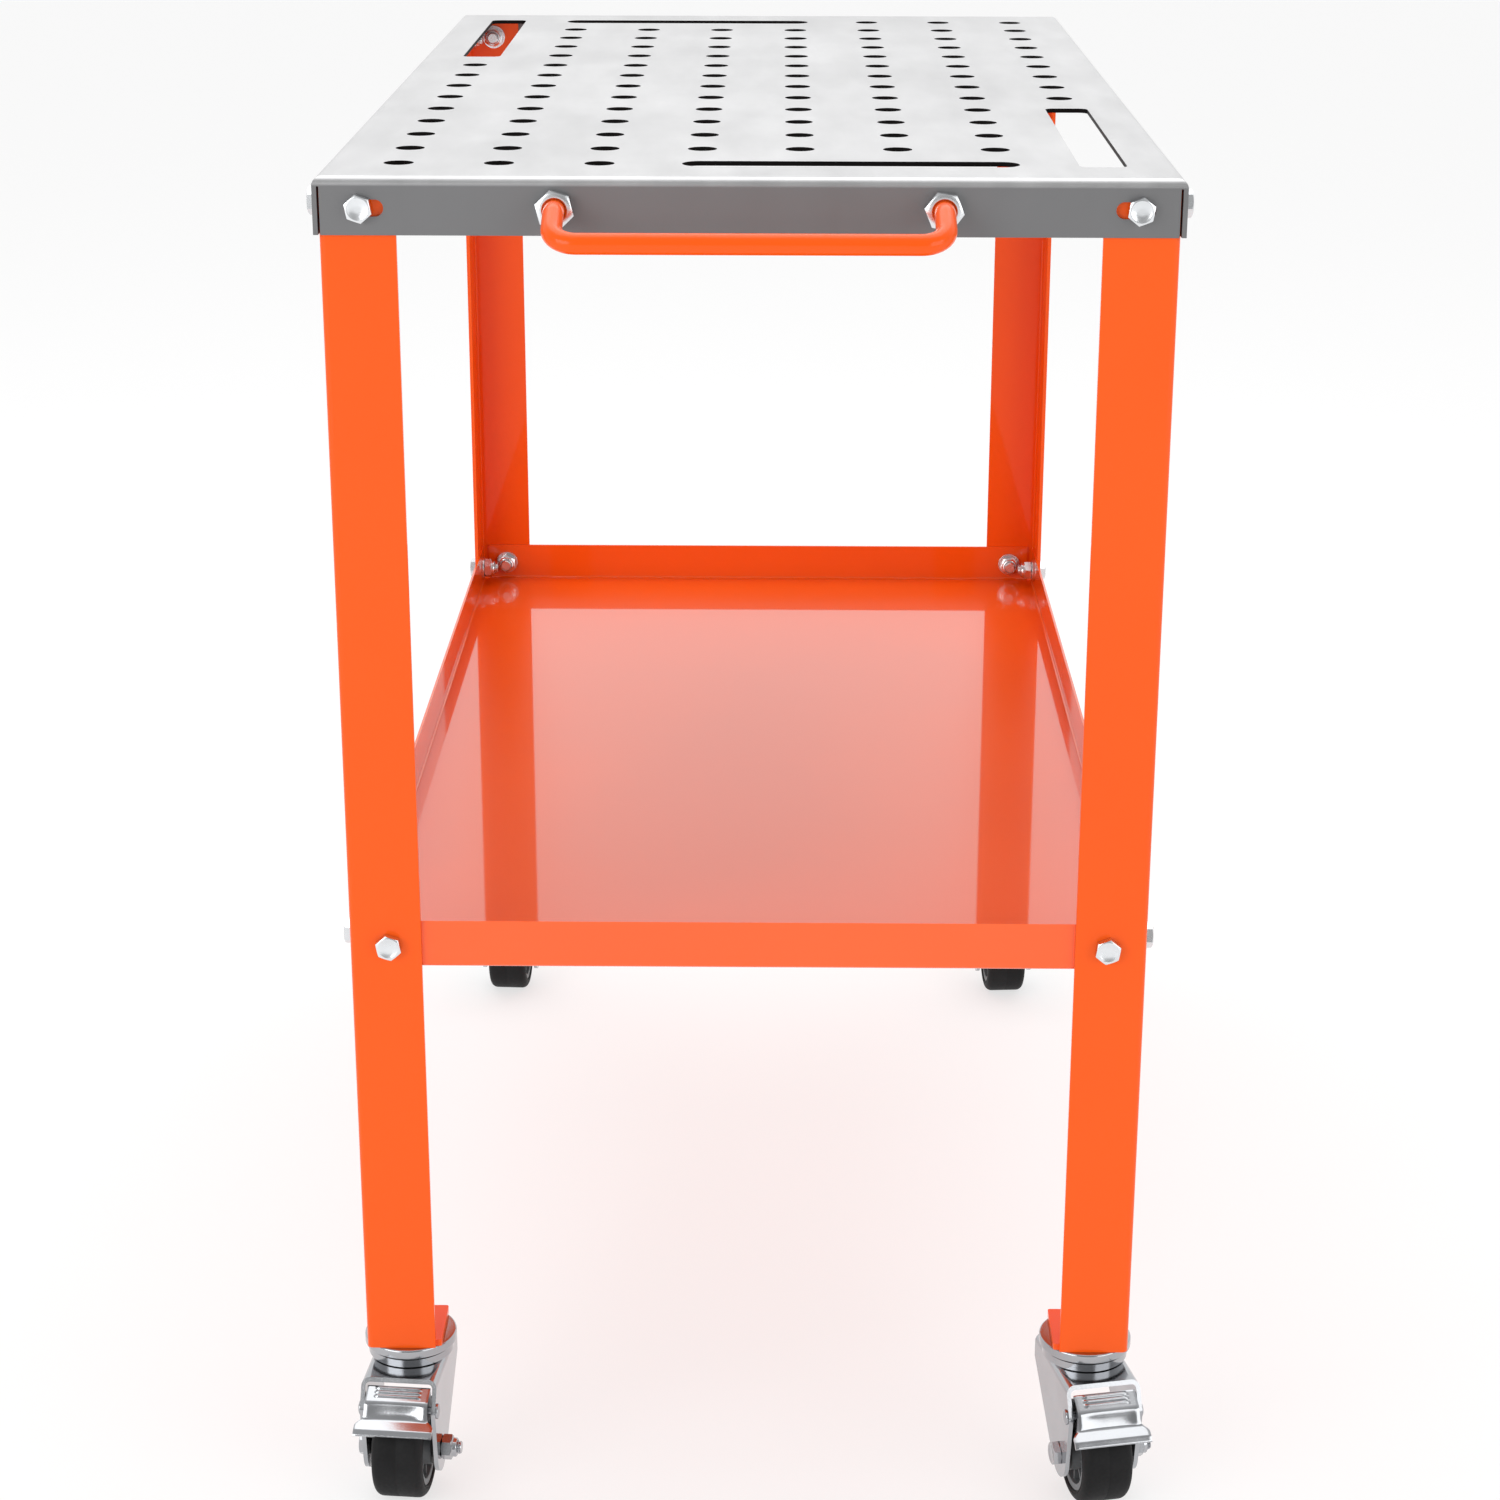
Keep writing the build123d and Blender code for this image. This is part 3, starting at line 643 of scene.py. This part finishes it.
def make_handle():
    low, high = box("pull_handle")
    span = high.x - HANDLE_RADIUS
    reach, drop = low.y + HANDLE_RADIUS, low.z + HANDLE_RADIUS
    half = [
        Vector((span, high.y, TOP_BOLT_HEIGHT)),
        Vector((span, FRONT - HANDLE_KNEE, TOP_BOLT_HEIGHT)),
        Vector((span, reach, drop)),
    ]
    points = half + [Vector((-point.x, point.y, point.z)) for point in reversed(half)]
    handle = Builder()
    handle.add(tube(filleted(points, HANDLE_BENDS), HANDLE_RADIUS, 40))
    handle.piece("handle_bar", [PAINT], "table", "orange_paint", ["pull_handle"])
    outer, inner = Builder(), Builder()
    nut_low, nut_high = box("handle_outer_nuts")
    nut = hexagon_nut(LARGE_NUT_FLATS, nut_high.y - nut_low.y, HANDLE_RADIUS + 0.06, 1.1)
    for side, spin in ((-1, 14.0), (1, 22.0)):
        outer.add(nut, facing((side * span, FRONT, TOP_BOLT_HEIGHT), (0, -1, 0), spin))
        behind = (side * span, FRONT + TOP_SHEET, TOP_BOLT_HEIGHT)
        inner.add(nut, facing(behind, (0, 1, 0), spin + 9))
    outer.piece("handle_front_nuts", [ZINC], "table", "bright_zinc", ["handle_outer_nuts"])
    inner.piece("handle_back_nuts", [ZINC], "table", "bright_zinc", ["handle_inner_nuts"])


# ---------------------------------------------------------------- caster wheels
def tyre_outline(radius):
    """A step by the hub, a groove in each side wall, round shoulders and a faint mould line."""
    inner = radius - TYRE_DEPTH
    half = [
        (inner, 0.0),
        (inner, WHEEL_HALF - 0.6),
        (inner + 0.5, WHEEL_HALF),
        (inner + 0.9, WHEEL_HALF),
        (inner + 1.1, WHEEL_HALF - 0.35),
        (inner + 1.5, WHEEL_HALF - 0.35),
        (inner + 1.7, WHEEL_HALF),
    ]
    for step in range(9):
        turn = math.pi / 2 * step / 8
        out = radius - TYRE_SHOULDER + TYRE_SHOULDER * math.sin(turn)
        half.append((out, WHEEL_HALF - TYRE_SHOULDER + TYRE_SHOULDER * math.cos(turn)))
    half += [(radius, 0.35), (radius - 0.12, 0.12), (radius - 0.12, 0.0)]
    return half + [(out, -across) for out, across in reversed(half[1:-1])]


def hub_outline(radius):
    """A long boss, a thin web and a shorter rim, with their edges broken and roots filled."""
    boss, rim_inside = HUB_BORE + 4.0, radius - 4.0
    return mirrored([
        (HUB_BORE, HUB_REACH - 0.4),
        (HUB_BORE + 0.4, HUB_REACH),
        (boss - 0.4, HUB_REACH),
        (boss, HUB_REACH - 0.4),
        (boss + 0.6, 4.6),
        (boss + 1.6, 3.0),
        (rim_inside - 1.6, 3.0),
        (rim_inside - 0.6, 4.6),
        (rim_inside, RIM_REACH - 0.4),
        (rim_inside + 0.4, RIM_REACH),
        (radius - 0.4, RIM_REACH),
        (radius, RIM_REACH - 0.4),
    ])


def make_wheel(corner, centre, radius):
    tyre = Builder()
    tyre.add(lathe(tyre_outline(radius), 128), centre)
    name, body = f"{corner}_tyre_rubber", f"{corner}_wheel"
    tyre.piece(name, [RUBBER], body, "tyre_rubber", [f"{corner}_tyre"], sharp=50)

    hub = Builder()
    hub.add(lathe(hub_outline(radius - TYRE_DEPTH - 0.05), 96), centre)
    rib = extrude([(10.2, -0.8), (19.5, -0.8), (19.5, 0.8), (10.2, 0.8)], 2.5, 12.0)
    for number in range(HUB_RIBS):
        turned = centre @ Matrix.Rotation(2 * math.pi * number / HUB_RIBS, 4, "Z")
        for side in SIDES:
            hub.add(rib, turned @ Matrix.Diagonal((1, side, side, 1)))
    name = f"{corner}_hub_moulding"
    hub.piece(name, [GREY], body, "wheel_grey", [f"{corner}_wheel_hub"])


def make_axle(corner, place, axle, centre, spin):
    """The fixed bush, the bolt through it and the lock nut on the bolt."""
    body = f"{corner}_caster"
    bush = Builder()
    wall = ring_profile(BUSH_BORE, BUSH_RADIUS, -FORK_GAP_HALF, FORK_GAP_HALF)
    bush.add(lathe(rounded(wall, 0.4), 64), centre)
    bush.piece(f"{corner}_bush_tube", [DARK], body, "bush_dark", [f"{corner}_axle_bush"])

    bolt = Builder()
    seat = place @ facing(axle - Vector((FORK_FACE, 0, 0)), (-1, 0, 0), next(spin))
    grip = 2 * FORK_FACE
    end = grip + AXLE_NUT + BOLT_TAIL
    bolt.add(hexagon_head(BOLT_FLATS, AXLE_HEAD), seat)
    bolt.add(shank(BOLT_RADIUS, -grip + 0.5, 0.2, 48), seat)
    bolt.add(threaded_rod(BOLT_RADIUS - THREAD_CLEARANCE, -end, -grip + 0.6, BOLT_PITCH), seat)
    bolt.piece(f"{corner}_wheel_bolt", [CASTER], body, "caster_zinc", [f"{corner}_axle_bolt"])

    nut = Builder()
    seat = place @ facing(axle + Vector((FORK_FACE, 0, 0)), (1, 0, 0), next(spin))
    steel, nylon = lock_nut_parts(AXLE_NUT)
    nut.add(steel, seat)
    nut.add(nylon, seat, kind=1)
    nut.piece(f"{corner}_wheel_nut", [CASTER, NYLON], body, "caster_zinc", [f"{corner}_axle_nut"])


# ---------------------------------------------------------------- caster brakes
def make_rivet(corner, centre):
    """The pedal's pin, with a low dome outside each cheek of the fork."""
    half = [(RIVET_RADIUS, 0.0), (RIVET_RADIUS, FORK_FACE), (RIVET_HEAD, FORK_FACE)]
    for step in range(8):
        rise = math.pi / 2 * step / 8
        dome = FORK_FACE + 0.5 + 1.5 * math.sin(rise)
        half.append((RIVET_HEAD * math.cos(rise), dome))
    half.append((0.01, FORK_FACE + 2.0))
    profile = [(out, -across) for out, across in reversed(half[1:])] + half
    rivet = Builder()
    rivet.add(lathe(profile, 48, closed=False), centre)
    name, body = f"{corner}_brake_rivet", f"{corner}_caster"
    rivet.piece(name, [CASTER], body, "caster_zinc", [f"{corner}_pedal_pin"])


def subdivided(route, spacing):
    """The same route with points no further apart than about the spacing."""
    fine = []
    for first, second in zip(route, route[1:]):
        pieces = max(1, int((second - first).length / spacing))
        fine += [first.lerp(second, step / pieces) for step in range(pieces)]
    return fine + [route[-1]]


def rib_lift(x, share, rise):
    """How far the pressed ribs stand up at x, a share of the way up the ribbed face."""
    across = abs(x) / (PEDAL_HALF_BODY * 0.72)
    if share <= -0.1 or across >= 1:
        return 0.0
    end = min(1.0, (1 - across) * 9)
    away = min(abs(share - middle) for middle in RIB_SHARES) * rise / RIB_HALF_WIDTH
    return end * max(0.0, 1 - away**2)


def scoop_depth(x, y):
    """How deep the toe scoop below the ribs is pressed in at x and y."""
    if not SCOOP_FRONT < y < SCOOP_BACK:
        return 0.0
    deep = math.sin(math.pi * (SCOOP_BACK - y) / (SCOOP_BACK - SCOOP_FRONT)) ** 2
    return SCOOP_DEPTH * deep * max(0.0, 1 - (abs(x) / (PEDAL_HALF_BODY * 0.86)) ** 4)


def pedal_shell(pin):
    """The pressed plate of a brake pedal, from its ribbed back edge to its rolled lip."""
    bends = [Vector((0, y, z)) for y, z in PEDAL_ROUTE]
    route = subdivided(filleted(bends, PEDAL_BENDS, steps=8), 0.35)
    rise = bends[0] - bends[1]
    columns = 44
    last = len(route) - 1
    rings = []
    for index, point in enumerate(route):
        along = (route[min(index + 1, last)] - route[max(index - 1, 0)]).normalized()
        normal = Vector((0, along.z, -along.y))
        share = (point - bends[1]).dot(rise) / rise.length_squared
        widen = min(1.0, max(0.0, (-point.y - PEDAL_WIDENS_AT) / PEDAL_WIDENS_OVER))
        widen = widen * widen * (3 - 2 * widen)
        half = PEDAL_HALF_BODY + (PEDAL_HALF_LIP - PEDAL_HALF_BODY) * widen
        end_edge = 0.3 * max(0.0, 1 - index / 2) + 0.3 * max(0.0, 1 - (last - index) / 2)
        over, under = [], []
        for column in range(columns + 1):
            place = -1 + 2 * column / columns
            x = place * half
            lift = rib_lift(x, share, rise.length)
            scoop = scoop_depth(x, point.y)
            edge = max(0.0, abs(place) - 0.97) / 0.03 * 0.25 + end_edge
            top = pin + point + normal * (PEDAL_SHEET / 2 + lift - scoop - edge)
            hollow = max(0.0, lift - 0.15)
            base = pin + point - normal * (PEDAL_SHEET / 2 - hollow + scoop - edge)
            over.append((x, top.y, top.z))
            under.append((x, base.y, base.z))
        rings.append(over + under[::-1])
    points, faces = loft(rings, caps=False)
    count = len(rings[0])
    for start in (0, len(points) - count):
        for step in range(columns):
            across = start + count - 1 - step
            faces.append((start + step, start + step + 1, across - 1, across))
    return points, faces


def pedal_ear(pin, side):
    """An ear of the pedal, on the pin, with its rounded lower end."""
    outline = [(pin.y + y, pin.z + z) for y, z in EAR_ROUTE]
    for step in range(13):
        turn = math.radians(-110 + 140 * step / 12)
        outline.append((pin.y + EAR_RADIUS * math.cos(turn), pin.z + EAR_RADIUS * math.sin(turn)))
    inside = PEDAL_HALF_BODY - PEDAL_SHEET
    return side_plate(outline, *sorted((side * PEDAL_HALF_BODY, side * inside)))


def pedal_shoe(pin, axle, radius, press):
    """The block under the scoop whose hollow face meets the tread when the pedal is down."""
    centre = pin + Matrix.Rotation(math.radians(-press), 3, "X") @ (axle - pin)
    back, face = pin.y + SHOE_BACK, pin.y + SHOE_FRONT
    outline = [(back, pin.z + 10.0), (face, pin.z + 8.3)]
    steps = 8
    for step in range(steps + 1):
        y = face + (back - face) * step / steps
        rise = math.sqrt((radius + SHOE_GAP) ** 2 - (y - centre.y) ** 2)
        outline.append((y, centre.z + rise))
    return side_plate(outline, -SHOE_HALF, SHOE_HALF)


def make_pedal(corner, place, pin, axle, press_range):
    """The pedal's shell, ears and shoe, drawn up and turned to where it rests."""
    up, down = press_range
    hinge = Matrix.Rotation(math.radians(-up), 4, "X")
    lever = place @ Matrix.Translation(pin) @ hinge @ Matrix.Translation(-pin)
    pedal = Builder()
    pedal.add(pedal_shell(pin), lever)
    for side in SIDES:
        pedal.add(pedal_ear(pin, side), lever)
    pedal.add(pedal_shoe(pin, axle, axle.z, down - up), lever)
    name, body = f"{corner}_brake_lever", f"{corner}_brake"
    pedal.piece(name, [CASTER], body, "caster_zinc", [f"{corner}_brake_pedal"], sharp=32)


# ---------------------------------------------------------------- caster stems
def make_stems(places, spin):
    """Threaded stems with cupped heads under the crowns, their nuts and the upper races."""
    stems, nuts, races = Builder(), Builder(), Builder()
    plate_top = LEG_BOTTOM + FOOT_PLATE
    stem_top = plate_top + STEM_NUT + STEM_TAIL
    seat = LEG_BOTTOM - RACE_STACK - FORK_SHEET - 0.35
    head = [
        (2.0, seat - 3.0),
        (7.2, seat - 3.0),
        (8.4, seat - 2.4),
        (9.0, seat - 1.2),
        (9.0, seat),
        (2.0, seat),
    ]
    cup_floor = [(0.01, seat - 2.6), (2.1, seat - 2.6), (2.1, seat), (0.01, seat)]
    race = rounded([
        (STEM_RADIUS + 0.05, LEG_BOTTOM - 2.0),
        (RACE_RADIUS - 2.0, LEG_BOTTOM - 2.0),
        (RACE_RADIUS - 2.0, LEG_BOTTOM - 6.0),
        (RACE_RADIUS, LEG_BOTTOM - 6.0),
        (RACE_RADIUS, LEG_BOTTOM),
        (STEM_RADIUS + 0.05, LEG_BOTTOM),
    ], 1.6, 6)
    thread = threaded_rod(STEM_RADIUS - 0.03, LEG_BOTTOM + 0.4, stem_top, STEM_PITCH, 48, 1.3)
    nut = hexagon_nut(LARGE_NUT_FLATS, STEM_NUT, STEM_RADIUS, 1.0)
    for place in places:
        here = Matrix.Translation(place.translation)
        stems.add(thread, here)
        stems.add(shank(STEM_RADIUS, seat, LEG_BOTTOM + 0.3, 64), here)
        stems.add(lathe(head, 64), here)
        stems.add(lathe(cup_floor, 32, closed=False), here)
        nuts.add(nut, here @ facing((0, 0, plate_top), (0, 0, 1), next(spin)))
        races.add(lathe(race, 96), here)
    stems.piece("stem_set", [CASTER], "table", "caster_zinc", ["caster_stems"])
    nuts.piece("stem_nut_set", [ZINC], "table", "bright_zinc", ["caster_stem_nuts"])
    races.piece("race_cap_set", [CASTER], "table", "caster_zinc", ["upper_races"])


def make_casters():
    joints = {joint["name"]: joint for joint in frame["joints"]}
    spin = uneven_turns()
    places = []
    for corner in CORNERS:
        swivel = joints[f"{corner}_swivel"]
        roll = joints[f"{corner}_roll"]
        press = joints[f"{corner}_brake_press"]
        stem = in_mm(swivel["pos_m"])
        across = Vector(roll["axis"])
        turn = Matrix.Rotation(math.atan2(across.y, across.x), 4, "Z")
        place = Matrix.Translation((stem.x, stem.y, 0)) @ turn
        places.append(place)
        axle = place.inverted() @ in_mm(roll["pos_m"])
        pin = place.inverted() @ in_mm(press["pos_m"])
        along_axle = place @ facing(axle, (1, 0, 0))
        make_wheel(corner, along_axle, axle.z)
        make_axle(corner, place, axle, along_axle, spin)
        make_rivet(corner, place @ facing(pin, (1, 0, 0)))
        make_pedal(corner, place, pin, axle, press["range_deg"])
    make_stems(places, spin)


# ---------------------------------------------------------------- weld beads at the foot plates
WELD_SIZE = 2.6
WELD_RIPPLE = 1.7
WELD_STEP = 0.35
WELD_FROM, WELD_TO = 6.0, 33.0


def weld_bead(start, end, up, outward):
    """A rippled fillet weld along an inside corner, domed between its two legs."""
    along = end - start
    length = along.length
    along.normalize()
    count = int(length / WELD_STEP)
    rings = []
    for index in range(count + 1):
        at = length * index / count
        taper = min(1.0, math.sqrt(max(0.0, min(at, length - at) / WELD_SIZE)))
        wave = abs((at / WELD_RIPPLE) % 1.0 - 0.5) * 2
        wander = math.sin(at * 0.9 + start.x) * 0.12 + math.sin(at * 0.37 + start.y) * 0.15
        leg = max(0.05, (WELD_SIZE + wander) * taper * (1 - 0.10 * wave))
        centre = start + along * (at + 0.35 * wave)
        ring = [centre - up * 0.3 - outward * 0.3]
        for step in range(9):
            turn = math.pi / 2 * step / 8
            swell = leg * (0.80 + 0.14 * math.sin(2 * turn))
            ring.append(centre + outward * swell * math.cos(turn) + up * swell * math.sin(turn))
        rings.append(ring)
    return loft(rings)


def make_welds():
    """Beads where each foot plate meets the two flanges of its leg."""
    beads = Builder()
    top = box("rear_right_foot_plate")[1].z
    up = Vector((0, 0, 1))
    for side_x in SIDES:
        for side_y in SIDES:
            face_x = side_x * (LEG_FACE_X - LEG_SHEET)
            face_y = LEG_FACE_REAR - LEG_SHEET if side_y > 0 else LEG_FACE_FRONT + LEG_SHEET
            corner = Vector((face_x, face_y, top))
            in_x, in_y = Vector((-side_x, 0, 0)), Vector((0, -side_y, 0))
            for along, outward in ((in_x, in_y), (in_y, in_x)):
                start, end = corner + along * WELD_FROM, corner + along * WELD_TO
                beads.add(weld_bead(start, end, up, outward))
    beads.piece("foot_plate_welds", [PAINT], "table", "orange_paint", sharp=60)


# ---------------------------------------------------------------- the table
def dress_frame():
    """Give every CAD node its material."""
    for part in frame["record"]["subparts"]:
        tray = part["node"] == "shelf_tray"
        for place in nodes[part["node"]].material_slots:
            place.material = TRAY_PAINT if tray else BY_SLOT[part["material_slot"]]


dress_frame()
fasten_corners(
    "top",
    inset=TOP_BOLT_INSET,
    face_x=HALF_WIDTH,
    face_front=FRONT,
    face_rear=REAR,
    height=TOP_BOLT_HEIGHT,
    grip=TOP_SHEET + LEG_SHEET,
)
fasten_corners(
    "shelf",
    inset=SHELF_BOLT_INSET,
    face_x=LEG_FACE_X,
    face_front=LEG_FACE_FRONT,
    face_rear=LEG_FACE_REAR,
    height=SHELF_BOLT_HEIGHT,
    grip=LEG_SHEET + TRAY_SHEET,
)
make_handle()
make_casters()
make_welds()


# ---------------------------------------------------------------- floor, light and camera
FLOOR_HALF = 40.0
WHITE = (1, 1, 1, 1)


def make_floor():
    """A white floor that glows a little, so that it fades into the background."""
    mesh = bpy.data.meshes.new("floor")
    corners = [(x * FLOOR_HALF, y * FLOOR_HALF, 0) for x, y in ((-1, -1), (1, -1), (1, 1), (-1, 1))]
    mesh.from_pydata(corners, [], [(0, 1, 2, 3)])
    floor = bpy.data.objects.new("floor", mesh)
    bpy.context.collection.objects.link(floor)
    material, tree, shader = new_material("floor_paint")
    feed(tree, shader, {
        "Base Color": (0.30, 0.30, 0.30, 1),
        "Roughness": 0.8,
        "Specular IOR Level": 0.1,
        "Emission Color": WHITE,
        "Emission Strength": 0.67,
    })
    mesh.materials.append(material)


def make_light(name, place, target, size, power):
    light = bpy.data.lights.new(name, "AREA")
    light.shape = "RECTANGLE"
    light.size, light.size_y = size
    light.energy = power
    lamp = bpy.data.objects.new(name, light)
    lamp.location = place
    lamp.rotation_euler = (Vector(target) - Vector(place)).to_track_quat("-Z", "Y").to_euler()
    bpy.context.collection.objects.link(lamp)


def make_world():
    """A soft studio: bright behind and above the table, quieter in front of it."""
    world = bpy.data.worlds.new("studio")
    world.use_nodes = True
    tree = world.node_tree
    direction = split(tree, coordinates(tree, "Generated"))
    behind = remap(tree, direction["Y"], -0.6, 0.7, 0.34, 1.04)
    above = remap(tree, direction["Z"], 0.0, 1.0, 0.0, 0.2)
    strength = maths(tree, "ADD", behind, above)
    feed(tree, tree.nodes["Background"], {"Color": WHITE, "Strength": strength})
    bpy.context.scene.world = world


def make_camera():
    """A camera in front of the table and a little above it, looking down at the top."""
    pitch, yaw, roll = (math.radians(angle) for angle in (19.179, 0.497, 0.121))
    camera = bpy.data.cameras.new("camera")
    camera.sensor_width = 36.0
    camera.lens = 74.256
    camera.clip_end = 50.0
    eye = bpy.data.objects.new("camera", camera)
    eye.matrix_world = (
        Matrix.Translation(Vector((14.7, FRONT - 1591.9, TABLE_TOP + 243.8)) * MM)
        @ Matrix.Rotation(yaw, 4, "Z")
        @ Matrix.Rotation(math.pi / 2 - pitch, 4, "X")
        @ Matrix.Rotation(roll, 4, "Z")
    )
    bpy.context.collection.objects.link(eye)
    bpy.context.scene.camera = eye


make_floor()
make_light("key", (-2.5, -3.0, 1.5), target=(0, 0, 0.4), size=(2.6, 2.0), power=56)
make_light("fill", (2.6, -2.6, 1.3), target=(0, 0, 0.4), size=(2.4, 2.0), power=32)
make_light("top", (0.0, 0.8, 3.0), target=(0, 0, 0.5), size=(3.0, 3.0), power=40)
make_world()
make_camera()
bpy.context.scene.view_settings.view_transform = "Standard"
